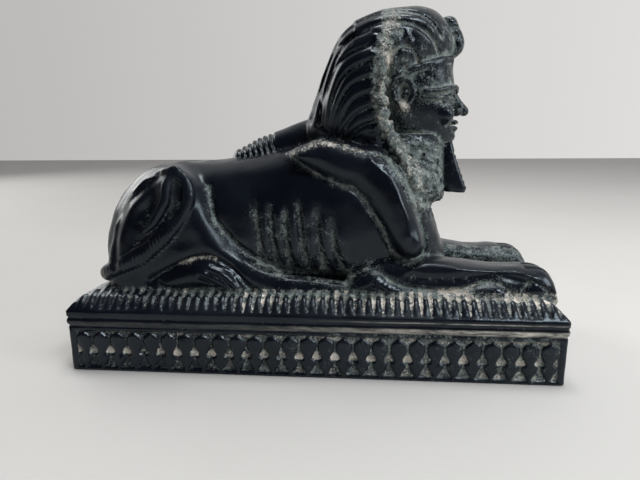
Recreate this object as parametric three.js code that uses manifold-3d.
// A small cast sphinx lying on the ribbed top of its own plinth: figure and plinth are one casting.
// Millimetres, +Z up. The sphinx faces +X, its tail lies on its right haunch (the -Y side), and the
// origin is the middle of the underside.
import * as THREE from "three";
import { mergeVertices } from "three/addons/utils/BufferGeometryUtils.js";
import Module from "manifold-3d";

const wasm = await Module();
wasm.setup();

// Driving sizes of the figure and of the room left round it.
const figureLength = 173;
const pawInset = 1.4;
const tailInset = 5.6;
const sideMargin = 7;

// Driving sizes of the plinth.
const edgeHeight = 24;
const borderRise = 6;
const borderWidth = 12.5;
const cornerCut = 0.9;
const cornerPost = 2.4;
const friezeLow = 1.4;
const friezeHigh = 16;
const friezeDepth = 0.9;
const ribPitch = 3.33;
const ribDepth = 0.9;
const lotusPitch = 6.35;

// The figure is drawn on a grid whose unit is 1/173 of its length, with z = 0 on the plinth's bed.
// Its tail reaches x = -84.4, its paws x = 88.6 and its hind paws y = +-28 on that grid.
const gridLength = 173;
const gridTail = -84.4;
const gridHalfWidth = 28;
const unit = figureLength / gridLength;

const plinthLength = figureLength + pawInset + tailInset;
const plinthWidth = 2 * (gridHalfWidth * unit + sideMargin);
const bed = edgeHeight + borderRise;

const NEAR = -1;
const FAR = 1;
const acrossY = new THREE.Vector3(0, 1, 0);

// Helpers that turn geometry into solids.

// How far round its ring each point lies, from 0 to 1.
function shares(ring) {
  const steps = ring.map((p, i) => p.distanceTo(ring[(i + 1) % ring.length]));
  const whole = steps.reduce((sum, step) => sum + step, 0);
  let run = 0;
  return steps.map((step) => (run += step) / whole);
}

// A closed skin over rings, with a fan at each end. Neighbouring rings may differ in their number of
// points: they are then matched by how far round each point lies.
function skin(rings) {
  const position = rings.flat().flatMap((p) => [p.x, p.y, p.z]);
  const index = [];
  let low = 0;
  for (let r = 0; r + 1 < rings.length; r++) {
    const count = rings[r].length;
    const above = rings[r + 1].length;
    const high = low + count;
    const even = count === above;
    const here = shares(rings[r]);
    const there = shares(rings[r + 1]);
    let i = 0;
    let j = 0;
    while (i < count || j < above) {
      const turn = even ? i === j : j === above || (i < count && here[i] <= there[j]);
      const a = low + (i % count);
      const b = high + (j % above);
      if (turn) index.push(a, low + ((i + 1) % count), b);
      else index.push(a, high + ((j + 1) % above), b);
      if (turn) i++;
      else j++;
    }
    low = high;
  }
  for (const [ring, first, turned] of [
    [rings[0], 0, true],
    [rings.at(-1), low, false],
  ]) {
    const middle = ring
      .reduce((sum, p) => sum.add(p), new THREE.Vector3())
      .divideScalar(ring.length);
    const centre = position.length / 3;
    position.push(middle.x, middle.y, middle.z);
    for (let i = 0; i < ring.length; i++) {
      const pair = [first + i, first + ((i + 1) % ring.length)];
      index.push(centre, ...(turned ? pair.reverse() : pair));
    }
  }
  const geometry = new THREE.BufferGeometry();
  geometry.setAttribute("position", new THREE.Float32BufferAttribute(position, 3));
  geometry.setIndex(index);
  return geometry;
}

// A geometry as a solid. One whose faces point inwards, such as a mirrored copy, is turned round.
function solid(geometry) {
  const bare = geometry.clone();
  bare.deleteAttribute("normal");
  bare.deleteAttribute("uv");
  const merged = mergeVertices(bare, 1e-4);
  const vertProperties = new Float32Array(merged.attributes.position.array);
  const triVerts = new Uint32Array(merged.index.array);
  const made = new wasm.Manifold(new wasm.Mesh({ numProp: 3, vertProperties, triVerts }));
  if (made.volume() > 0) return made;
  for (let i = 0; i < triVerts.length; i += 3)
    [triVerts[i + 1], triVerts[i + 2]] = [triVerts[i + 2], triVerts[i + 1]];
  return new wasm.Manifold(new wasm.Mesh({ numProp: 3, vertProperties, triVerts }));
}

const joined = (solids) => solids.reduce((all, next) => all.add(next));

// A grid geometry carried onto the plinth.
function placed(geometry) {
  geometry.scale(unit, unit, unit);
  geometry.translate(-plinthLength / 2 + tailInset - gridTail * unit, 0, bed);
  return solid(geometry);
}

// Smooth rows between given rows, keyed on their first column.
function smoothed(rows, steps) {
  const slope = (i, c) => {
    const a = rows[Math.max(i - 1, 0)];
    const b = rows[Math.min(i + 1, rows.length - 1)];
    return (b[c] - a[c]) / (b[0] - a[0]);
  };
  return Array.from({ length: steps + 1 }, (_, s) => {
    const key = rows[0][0] + ((rows.at(-1)[0] - rows[0][0]) * s) / steps;
    const i = rows.findIndex((row, n) => n > 0 && row[0] - key >= -1e-9) - 1;
    const span = rows[i + 1][0] - rows[i][0];
    const t = (key - rows[i][0]) / span;
    return rows[i].map((value, c) => {
      if (c === 0) return key;
      const low = value;
      const high = rows[i + 1][c];
      return (
        low * (1 + 2 * t) * (1 - t) ** 2 +
        high * t * t * (3 - 2 * t) +
        span * (slope(i, c) * t * (1 - t) ** 2 - slope(i + 1, c) * t * t * (1 - t))
      );
    });
  });
}

// A superellipse in units of its half sizes: squareness 2 is an ellipse, 4 is nearly a box.
function superellipse(sides, squareness) {
  const bent = (v) => Math.sign(v) * Math.abs(v) ** (2 / squareness);
  return Array.from({ length: sides }, (_, i) => {
    const angle = ((i + 0.5) / sides) * 2 * Math.PI;
    return [bent(Math.cos(angle)), bent(Math.sin(angle))];
  });
}

// A body whose sections stand across X. Rows: x, low z, high z, half width, squareness, middle y.
function loftAlongX(rows, sides) {
  return skin(
    rows.map(([x, low, high, half, squareness, middle = 0]) =>
      superellipse(sides, squareness).map(
        ([across, up]) =>
          new THREE.Vector3(x, middle + half * across, (low + high) / 2 + ((high - low) / 2) * up)
      )
    )
  );
}

// How far a loft along X reaches to the side at a place on its flank, or 0 outside it.
function flank(rows, x, z) {
  const after = rows.findIndex((row) => row[0] >= x);
  if (after < 1) return 0;
  const [a, b] = [rows[after - 1], rows[after]];
  const t = (x - a[0]) / (b[0] - a[0]);
  const [, low, high, half, squareness] = a.map((value, c) => value + (b[c] - value) * t);
  const up = Math.min(1, Math.abs(z - (low + high) / 2) / ((high - low) / 2));
  return half * (1 - up ** squareness) ** (1 / squareness);
}

// A body whose sections lie across Z. Rows: z, back x, front x, half width, squareness, middle y.
function loftAlongZ(rows, sides) {
  return skin(
    rows.map(([z, back, front, half, squareness, middle = 0]) =>
      superellipse(sides, squareness).map(
        ([across, fore]) =>
          new THREE.Vector3((back + front) / 2 + ((front - back) / 2) * fore, middle + half * across, z)
      )
    )
  );
}

// How the ends of a limb close: share of its section, and how far past the end in half depths.
const ROUND = [
  [0.35, 0.92],
  [0.75, 0.6],
];
const BLUNT = [[0.6, 0.6]];

// A limb along a curve. Rows: x, y, z, half width across Y, half depth.
function limb(rows, steps, sides, rounding = ROUND) {
  const path = new THREE.CatmullRomCurve3(rows.map(([x, y, z]) => new THREE.Vector3(x, y, z)));
  const sized = smoothed(
    rows.map((row, i) => [i, row[3], row[4]]),
    steps
  );
  const ring = (t, [, width, depth], shrink, beyond) => {
    const tangent = path.getTangent(t);
    const lift = new THREE.Vector3().crossVectors(tangent, acrossY).normalize();
    const side = new THREE.Vector3().crossVectors(lift, tangent);
    const centre = path.getPoint(t).addScaledVector(tangent, beyond * Math.min(width, depth));
    return superellipse(sides, 2).map(([across, up]) =>
      centre
        .clone()
        .addScaledVector(side, width * shrink * across)
        .addScaledVector(lift, depth * shrink * up)
    );
  };
  return skin([
    ...rounding.map(([shrink, beyond]) => ring(0, sized[0], shrink, -beyond)),
    ...sized.map((row, i) => ring(i / steps, row, 1, 0)),
    ...rounding.toReversed().map(([shrink, beyond]) => ring(1, sized.at(-1), shrink, beyond)),
  ]);
}

// A domed plate with a given side outline, standing out to one side. Levels: y, share of the outline.
function dome(outline, heart, side, levels, points) {
  const closed = new THREE.CatmullRomCurve3(
    outline.map(([x, z]) => new THREE.Vector3(x, 0, z)),
    true
  );
  return skin(
    levels.map(([y, share]) =>
      closed
        .getPoints(points)
        .slice(0, points)
        .map(
          (p) =>
            new THREE.Vector3(
              heart[0] + (p.x - heart[0]) * share,
              side * y,
              heart[1] + (p.z - heart[1]) * share
            )
        )
    )
  );
}

// The plinth.

// An outline round the plinth with cut corners, inset from its widest line.
function plinthRing(z, inset) {
  const x = plinthLength / 2 - inset;
  const y = plinthWidth / 2 - inset;
  const corners = [
    [-x + cornerCut, -y],
    [x - cornerCut, -y],
    [x, -y + cornerCut],
    [x, y - cornerCut],
    [x - cornerCut, y],
    [-x + cornerCut, y],
    [-x, y - cornerCut],
    [-x, -y + cornerCut],
  ];
  return corners.map(([px, py]) => new THREE.Vector3(px, py, z));
}

// A ring of the ribbed border that swells up to the bed. Every second point lies in a groove.
function ribbedRing(rise, inset, depth) {
  const x = plinthLength / 2 - inset;
  const y = plinthWidth / 2 - inset;
  const corners = [
    [-x, -y],
    [x, -y],
    [x, y],
    [-x, y],
  ];
  return corners.flatMap(([ax, ay], side) => {
    const [bx, by] = corners[(side + 1) % 4];
    const ribs = Math.max(1, Math.round((side % 2 ? plinthWidth : plinthLength) / ribPitch));
    return Array.from({ length: 2 * ribs }, (_, i) => {
      const t = i / (2 * ribs);
      const z = edgeHeight + borderRise * rise - (i % 2 ? depth : 0);
      return new THREE.Vector3(ax + (bx - ax) * t, ay + (by - ay) * t, z);
    });
  });
}

// The moulded block, from the foot to the bed. The roll lies between two shallow grooves and hangs
// from the edge's height. The border is smooth at its edge and ribbed further in.
const rollTop = edgeHeight - 2.7;
const rollRadius = 1.95;
const lipInset = 0.4;
const edgeInset = 0.2;
const grooveDepth = 0.3;

function mouldedBlock() {
  const rollMiddle = rollTop - rollRadius;
  const rollFoot = rollMiddle - rollRadius;
  const shoulder = rollRadius * 0.24;
  return skin([
    plinthRing(0, lipInset + grooveDepth),
    plinthRing(grooveDepth, lipInset),
    plinthRing(rollFoot - grooveDepth, lipInset),
    plinthRing(rollFoot, lipInset + grooveDepth),
    plinthRing(rollFoot + shoulder, shoulder),
    plinthRing(rollMiddle, 0),
    plinthRing(rollTop - shoulder, shoulder),
    plinthRing(rollTop, lipInset + grooveDepth),
    plinthRing(rollTop + grooveDepth, edgeInset),
    plinthRing(edgeHeight - grooveDepth, edgeInset),
    ribbedRing(0.08, borderWidth * 0.11, 0),
    ribbedRing(0.78, borderWidth * 0.48, ribDepth),
    ribbedRing(1, borderWidth, 0.7 * ribDepth),
    plinthRing(bed, borderWidth + 0.5),
  ]);
}

// One lotus and bud of the frieze, drawn upright, as high as the frieze.
function lotusShape() {
  const high = friezeHigh - friezeLow;
  const half = lotusPitch * 0.42;
  const shape = new THREE.Shape();
  shape.moveTo(0, high * 0.03);
  shape.lineTo(half, high * 0.34);
  shape.lineTo(half * 0.42, high * 0.43);
  shape.lineTo(half * 0.94, high * 0.87);
  shape.lineTo(-half * 0.94, high * 0.87);
  shape.lineTo(-half * 0.42, high * 0.43);
  shape.lineTo(-half, high * 0.34);
  return shape;
}

// The recess of each side between the corner posts, and the lotuses that stand in it.
function frieze() {
  const recesses = [];
  const figures = [];
  const rooted = 0.5;
  const high = friezeHigh - friezeLow;
  const sides = [
    [plinthLength, plinthWidth, 0],
    [plinthWidth, plinthLength, Math.PI / 2],
    [plinthLength, plinthWidth, Math.PI],
    [plinthWidth, plinthLength, -Math.PI / 2],
  ];
  for (const [along, across, turn] of sides) {
    const run = along - 2 * (lipInset + cornerPost);
    const floor = -across / 2 + lipInset + friezeDepth;
    const recess = new THREE.BoxGeometry(run, 4 * friezeDepth, high);
    recess.translate(0, floor - 2 * friezeDepth, friezeLow + high / 2);
    recess.rotateZ(turn);
    recesses.push(solid(recess));
    const count = Math.max(1, Math.round(run / lotusPitch));
    for (let i = 0; i < count; i++) {
      const figure = new THREE.ExtrudeGeometry(lotusShape(), {
        depth: friezeDepth + rooted,
        bevelEnabled: false,
      });
      figure.rotateX(Math.PI / 2);
      figure.translate(((i + 0.5) / count - 0.5) * run, floor + rooted, friezeLow);
      figure.rotateZ(turn);
      figures.push(solid(figure));
    }
  }
  return { recesses: joined(recesses), figures: joined(figures) };
}

// The sphinx: its masses.

// The body from the rump to the chest. Rows: x, low z, high z, half width, squareness.
const trunkRows = [
  [-83.8, -3, 14, 9, 2.2],
  [-82, -3, 23, 13, 2.3],
  [-77.6, -3, 32, 17, 2.4],
  [-70, -3, 40.6, 20, 2.5],
  [-62, -3, 45, 21.3, 2.6],
  [-40, -3, 46.4, 21.5, 2.6],
  [-20, -3, 49.4, 22, 2.6],
  [0, -3, 54, 23, 2.6],
  [16, -3, 54, 23.5, 2.6],
  [28, -3, 46, 22, 2.6],
  [37, -3, 36.5, 19.5, 2.5],
  [44, -3, 28, 14, 2.3],
  [50, -3, 14, 8, 2.2],
];

function haunch(side) {
  const outline = [
    [-78, 8],
    [-74, 22],
    [-69, 33],
    [-61, 41],
    [-52, 45],
    [-44, 42.5],
    [-38, 33],
    [-33, 22],
    [-25, 13],
    [-17, 7.5],
    [-16, -7],
    [-45, -9],
    [-74, -8],
  ];
  const levels = [
    [15, 1],
    [22.4, 1],
    [25.4, 0.88],
    [27, 0.62],
  ];
  return placed(dome(outline, [-52, 18], side, levels, 16));
}

function hindPaw(side) {
  return placed(
    limb(
      [
        [-55, side * 22, 2.4, 4.2, 3.2],
        [-47, side * 22.2, 4.2, 5.2, 5.4],
        [-39, side * 22.4, 5.6, 5.5, 6.4],
        [-32, side * 22.4, 4, 5.5, 6],
        [-26, side * 22.4, 0.8, 5, 4],
      ],
      5,
      8,
      BLUNT
    )
  );
}

// The fold of belly and shin that runs forward from the knee to the elbow.
function bellyRoll(side) {
  return placed(
    limb(
      [
        [-27, side * 21.5, 4, 5, 8],
        [-17, side * 22, 1.4, 4.6, 7],
        [-6, side * 22, -0.8, 4.6, 6.5],
        [4, side * 22, -1.2, 4.6, 6],
        [15, side * 22, -1.8, 4.4, 5],
      ],
      5,
      5,
      BLUNT
    )
  );
}

const legMiddle = 17.4;
const legHalf = 8.6;

function foreleg(side) {
  return placed(
    loftAlongX(
      [
        [12, -4, 4, 7, 2.6, side * legMiddle],
        [19, -5, 9.4, 8.2, 3, side * legMiddle],
        [30, -6, 11.4, legHalf, 3.4, side * legMiddle],
        [50, -6, 11, legHalf, 3.6, side * legMiddle],
        [66, -6, 9, legHalf, 3.6, side * legMiddle],
        [78, -6, 9.4, legHalf + 0.6, 3, side * legMiddle],
        [83.4, -6, 8.6, legHalf + 0.6, 2.8, side * legMiddle],
        [87, -6, 5.4, legHalf, 2.6, side * legMiddle],
        [88.6, -5, 0.6, 7.2, 2.4, side * legMiddle],
      ],
      10
    )
  );
}

// The lower roll of the forearm, which humps over the elbow and the wrist.
function forearmRoll(side) {
  return placed(
    limb(
      [
        [15, side * 23, 1, 4, 2],
        [22.5, side * 23, 3.6, 4.4, 4.2],
        [31, side * 23, 1.2, 4.4, 2.4],
        [45, side * 23, 0.2, 4.4, 1.6],
        [56, side * 23, 0.8, 4.4, 1.8],
        [64.5, side * 23, 1.8, 4.4, 2.8],
        [72, side * 22.4, 0.2, 4, 1.2],
      ],
      9,
      6,
      BLUNT
    )
  );
}

function outerToe(side) {
  return placed(
    limb(
      [
        [77, side * 24.6, 1.6, 2.6, 2.2],
        [82.5, side * 24.2, 1.2, 2.6, 2.4],
      ],
      1,
      6,
      BLUNT
    )
  );
}

// The shoulder blade and the upper arm, which ends in a round elbow on the foreleg.
function shoulder(side) {
  const outline = [
    [-8, 49.4],
    [1, 43],
    [15, 37.4],
    [24, 26],
    [34, 33],
    [31, 44],
    [20, 52],
    [4, 55],
  ];
  const levels = [
    [15, 1],
    [22.8, 1],
    [25, 0.88],
    [26, 0.6],
  ];
  return placed(dome(outline, [16, 46], side, levels, 16));
}

function upperArm(side) {
  return placed(
    limb(
      [
        [19, side * 17.5, 46, 7, 8],
        [25, side * 18, 40, 8.6, 9],
        [29.5, side * 18.3, 31, 8.7, 8.2],
        [33.8, side * 18.5, 22, 8.6, 7.6],
        [36, side * 18.5, 18, 8.4, 7.2],
      ],
      5,
      9,
      BLUNT
    )
  );
}

function chest() {
  return placed(
    loftAlongZ(
      [
        [-3, 20, 51.5, 16, 2.6],
        [10, 20, 51, 16.5, 2.6],
        [20, 18, 48, 18, 2.6],
        [30, 15, 44.5, 19.5, 2.6],
        [40, 12, 40, 20, 2.6],
      ],
      12
    )
  );
}

// The sphinx: its head.

// The wings and back of the headdress. Rows: x, low z, high z, half width, squareness.
const nemesRows = [
  [-2.5, 53, 61, 7, 2.2],
  [0, 51.5, 68, 11.5, 2.3],
  [4, 50, 79.5, 16, 2.4],
  [9, 49, 90, 19.5, 2.4],
  [15, 48, 96, 21.3, 2.4],
  [20, 46.5, 98.4, 22, 2.4],
  [24.6, 44, 100, 22, 2.4],
];

// The cap of the headdress over the brow, down to the frontlet.
const capRows = [
  [16, 66, 96.6, 18.6, 2.5],
  [25, 70, 100.1, 18.2, 2.5],
  [33, 74, 101.2, 16.8, 2.5],
  [40, 77.5, 101.3, 14.2, 2.4],
  [45.5, 80.5, 99.4, 11, 2.3],
  [50, 83, 94, 6.5, 2.2],
];

function frontlet() {
  return placed(
    loftAlongX(
      [
        [24, 70, 76, 16.6, 3],
        [34, 75.6, 80.2, 15.2, 3],
        [42, 78.2, 82.6, 12.8, 3],
        [48, 79.8, 84, 9.4, 3],
        [51.4, 80.6, 84.4, 5, 3],
      ],
      10
    )
  );
}

// The raised cord that follows the headdress from the neck over the crown to the brow. It thins out
// to the front and ends inside the cap.
function rimCord(side) {
  const proud = 1.7;
  const line = [
    [1.6, 60, 1.5],
    [4, 70, 1.5],
    [8, 81, 1.4],
    [13, 89.2, 1.2],
    [20, 93.6, 1.1],
    [28, 94.5, 1.1],
    [35, 93.2, 1],
    [40.4, 89.8, 0.9],
    [43.4, 86.4, 0.7],
  ];
  const full = line[0][2];
  const rows = line.map(([x, z, thick]) => {
    const y = Math.max(flank(nemesRows, x, z), flank(capRows, x, z));
    const sunk = 2 * (full - thick);
    return [x, side * (y + proud - full - sunk), z, thick, thick];
  });
  return placed(limb(rows, 8, 4, []));
}

// The beaded edge of the headdress, from the temple behind the ear and along the jaw to the chest.
function beadedEdge(side) {
  const line = new THREE.CatmullRomCurve3(
    [
      [25.4, 17.2, 86],
      [24.6, 18.8, 76],
      [24.4, 19.4, 66],
      [26, 18.6, 58.4],
      [31.4, 17, 51],
      [35.4, 16.2, 43],
      [38.6, 15.8, 35.4],
    ].map(([x, y, z]) => new THREE.Vector3(x, side * y, z))
  );
  const beads = 9;
  const rows = Array.from({ length: 2 * beads + 1 }, (_, i) => {
    const p = line.getPointAt(i / (2 * beads));
    const size = i % 2 ? 3 : 2.2;
    return [p.x, p.y, p.z, size * 0.9, size];
  });
  return placed(limb(rows, 2 * beads, 5, BLUNT));
}

// The face: brow, cheeks and jaw. Three equal thirds from the chin to the frontlet.
const chinZ = 53.5;
const faceThird = 9;
const noseBaseZ = chinZ + faceThird;
const browZ = chinZ + 2 * faceThird;
const hairZ = chinZ + 3 * faceThird;
const faceHalf = 12.2;

function skull() {
  return placed(
    loftAlongZ(
      [
        [chinZ - 0.4, 34, 53.2, 6.4, 2.3],
        [chinZ + 3, 26, 54.6, 9.2, 2.3],
        [chinZ + 6, 22, 53.8, 10.8, 2.3],
        [noseBaseZ + 1, 20, 53.4, 11.9, 2.3],
        [browZ - 3, 20, 52.4, faceHalf, 2.3],
        [browZ, 20, 53.6, 12.4, 2.3],
        [hairZ, 20, 52, 13, 2.3],
      ],
      14
    )
  );
}

function nose() {
  const half = 2.5;
  return placed(
    limb(
      [
        [51.6, 0, browZ - 0.6, half * 0.55, 1.6],
        [54, 0, browZ - 4.2, half * 0.6, 1.9],
        [55.8, 0, noseBaseZ + 1.6, half, 2],
      ],
      3,
      6,
      BLUNT
    )
  );
}

function mouth() {
  const lip = (z, half, thick) => {
    const made = new THREE.SphereGeometry(1, 7, 4);
    made.scale(1.7, half, thick);
    made.translate(52.9, 0, z);
    return placed(made);
  };
  const lipLine = chinZ + 6;
  return [lip(lipLine + 0.75, 3.7, 0.95), lip(lipLine - 0.85, 3.2, 1.05)];
}

function eye(side) {
  const socket = new THREE.SphereGeometry(2.4, 7, 4);
  socket.scale(1.1, 1.35, 0.62);
  socket.translate(52.6, side * 5.6, browZ - 3.2);
  const lens = new THREE.SphereGeometry(2, 7, 4);
  lens.scale(0.8, 1.2, 0.52);
  lens.translate(51.1, side * 5.6, browZ - 3.2);
  return { socket: placed(socket), lens: placed(lens) };
}

function eyebrow(side) {
  return placed(
    limb(
      [
        [52.6, side * 2.6, browZ - 0.3, 0.9, 0.55],
        [52, side * 6, browZ + 0.6, 0.9, 0.6],
        [48.4, side * 9.8, browZ - 0.2, 0.9, 0.5],
      ],
      2,
      4,
      []
    )
  );
}

function ear(side) {
  const shell = new THREE.CylinderGeometry(4.2, 3.6, 3.4, 10);
  shell.scale(0.82, 1, 1.2);
  shell.translate(32.6, side * 13.6, -(noseBaseZ + 6));
  shell.applyMatrix4(new THREE.Matrix4().set(1, 0, 0, 0, 0, 1, 0, 0, 0, 0, -1, 0, 0, 0, 0, 1));
  const hollow = new THREE.CylinderGeometry(2.6, 2.1, 2, 8);
  hollow.scale(0.8, 1, 1.2);
  hollow.translate(32.9, side * 15.4, noseBaseZ + 6.4);
  const lobe = new THREE.SphereGeometry(2.3, 6, 4);
  lobe.translate(33, side * 13.8, noseBaseZ);
  return { shell: placed(shell).add(placed(lobe)), hollow: placed(hollow) };
}

// The lappets of the headdress, which hang beside and behind the beard as one block.
function lappets() {
  return placed(
    loftAlongZ(
      [
        [29, 26, 44, 14, 3],
        [31.4, 24, 47.5, 14.4, 3],
        [33.4, 22, 50, 14.6, 3],
        [42, 18, 49.4, 15, 3],
        [51, 16, 48.6, 13.6, 3],
        [56, 16, 48, 11.6, 2.6],
      ],
      10
    )
  );
}

// The false beard: a strap that widens downwards, with shallow steps on its front.
function beard() {
  return placed(
    loftAlongZ(
      [
        [34, 50.6, 58.8, 3.9, 3.4],
        [36, 50, 59.2, 4, 3.4],
        [44, 48.8, 56, 3.5, 3.4],
        [52, 47.8, 53.2, 3, 3.2],
        [55.5, 47, 51.6, 2.8, 3],
      ],
      8
    )
  );
}

function uraeus() {
  const side = new THREE.Shape();
  side.moveTo(45, 96);
  side.lineTo(48.6, 98.2);
  side.lineTo(51.3, 98.1);
  side.lineTo(52.8, 96.2);
  side.lineTo(53.9, 93.8);
  side.lineTo(53.6, 92.3);
  side.lineTo(55.2, 89.8);
  side.lineTo(55.5, 87.6);
  side.lineTo(53.2, 84.4);
  side.lineTo(49, 82);
  side.lineTo(44, 84);
  const half = 3;
  const bevel = 0.9;
  const made = new THREE.ExtrudeGeometry(side, {
    depth: 2 * (half - bevel),
    bevelEnabled: true,
    bevelThickness: bevel,
    bevelSize: bevel * 0.5,
    bevelOffset: -bevel * 0.5,
    bevelSegments: 1,
  });
  made.translate(0, 0, -(half - bevel));
  made.applyMatrix4(new THREE.Matrix4().set(1, 0, 0, 0, 0, 0, -1, 0, 0, 1, 0, 0, 0, 0, 0, 1));
  return placed(made);
}

// The tied tail of the headdress on the back: a run of rings and a smooth stub.
function queue() {
  const rings = 5;
  const rows = Array.from({ length: 2 * rings + 1 }, (_, i) => {
    const share = i / (2 * rings);
    const swell = i % 2 ? 1 : 0.84;
    const size = 5.4 + 1.6 * share;
    return [-28.4 + 15.4 * share, 0, 47 + 4.6 * share, swell * (size + 0.6), swell * size];
  });
  rows.push([-12, 0, 51.7, 7.2, 6.6], [-5, 0, 54.2, 7.6, 6.7], [2, 0, 56.4, 8, 7]);
  return placed(limb(rows, rows.length - 1, 9, BLUNT));
}

// The tail: round the rump, up across the near haunch, over in a hook and down to its tuft.
function tail() {
  const band = limb(
    [
      [-82.4, 2, 3.4, 2.2, 3],
      [-83, -10, 3, 2.2, 3],
      [-80.4, -20, 3.6, 2.6, 3],
      [-72, -25, 7.6, 2.4, 3.2],
      [-63, -26, 13, 2.4, 3.4],
      [-55, -26.6, 19.2, 2.4, 3.4],
      [-48.6, -26.4, 26, 2.4, 3.2],
      [-44.6, -25.6, 33.6, 2.4, 2.9],
      [-45, -24.4, 40, 2.4, 2.6],
      [-49, -23.2, 43.4, 2.4, 2.4],
    ],
    13,
    5,
    BLUNT
  );
  const tuft = limb(
    [
      [-49.6, -23.4, 43, 2.2, 2.2],
      [-51.4, -25, 38.4, 2.2, 2.4],
      [-52.4, -26, 33, 2.2, 2.8],
      [-56, -26.4, 27, 2, 2.4],
      [-60, -26.4, 22.6, 1.6, 1.2],
    ],
    4,
    5,
    BLUNT
  );
  return [placed(band), placed(tuft)];
}

// The sphinx: its carving.

// The six channels between the ribs of the chest.
function ribChannels(side) {
  const tops = [32.4, 31, 30.4, 32.4, 29.6, 26];
  return tops.map((top, i) => {
    const foot = 9.4 - 1.1 * i;
    const rows = [
      [0, 1, 0.5],
      [0.3, 0.72, 1.3],
      [1.2, 0.4, 1.4],
      [3.4, 0, 1.1],
    ].map(([shift, height, half]) => {
      const x = -20.4 + 5.6 * i + shift;
      const z = foot + (top - foot) * height;
      return [x, side * flank(trunkRows, x, z), z, 1.6, half];
    });
    return placed(limb(rows, 3, 4, []));
  });
}

// Everything as one casting.

function sphinx() {
  const masses = [
    placed(loftAlongX(trunkRows, 12)),
    chest(),
    placed(loftAlongX(nemesRows, 12)),
    placed(loftAlongX(capRows, 12)),
    frontlet(),
    skull(),
    lappets(),
    beard(),
  ];
  const carved = [];
  for (const side of [NEAR, FAR]) {
    masses.push(
      haunch(side),
      hindPaw(side),
      bellyRoll(side),
      foreleg(side),
      forearmRoll(side),
      outerToe(side),
      shoulder(side),
      upperArm(side),
      eyebrow(side),
      rimCord(side),
      beadedEdge(side)
    );
    carved.push(...ribChannels(side));
  }
  masses.push(nose(), ...mouth(), uraeus(), queue(), ...tail());
  let figure = joined(masses).subtract(joined(carved));
  for (const side of [NEAR, FAR]) {
    const { socket, lens } = eye(side);
    const { shell, hollow } = ear(side);
    figure = figure.subtract(socket).add(lens).add(shell).subtract(hollow);
  }
  return figure;
}

function casting() {
  const { recesses, figures } = frieze();
  const plinth = solid(mouldedBlock()).subtract(recesses).add(figures);
  const whole = plinth.add(sphinx()).getMesh();
  const geometry = new THREE.BufferGeometry();
  geometry.setAttribute("position", new THREE.Float32BufferAttribute(whole.vertProperties, 3));
  geometry.setIndex(new THREE.Uint32BufferAttribute(whole.triVerts, 1));
  geometry.computeVertexNormals();
  return geometry;
}

const blackStone = new THREE.MeshStandardMaterial({ color: 0x14171b, roughness: 0.3, metalness: 0 });

const statue = new THREE.Group();
const cast = new THREE.Mesh(casting(), blackStone);
cast.name = "sphinx_statue";
statue.add(cast);

export default statue;
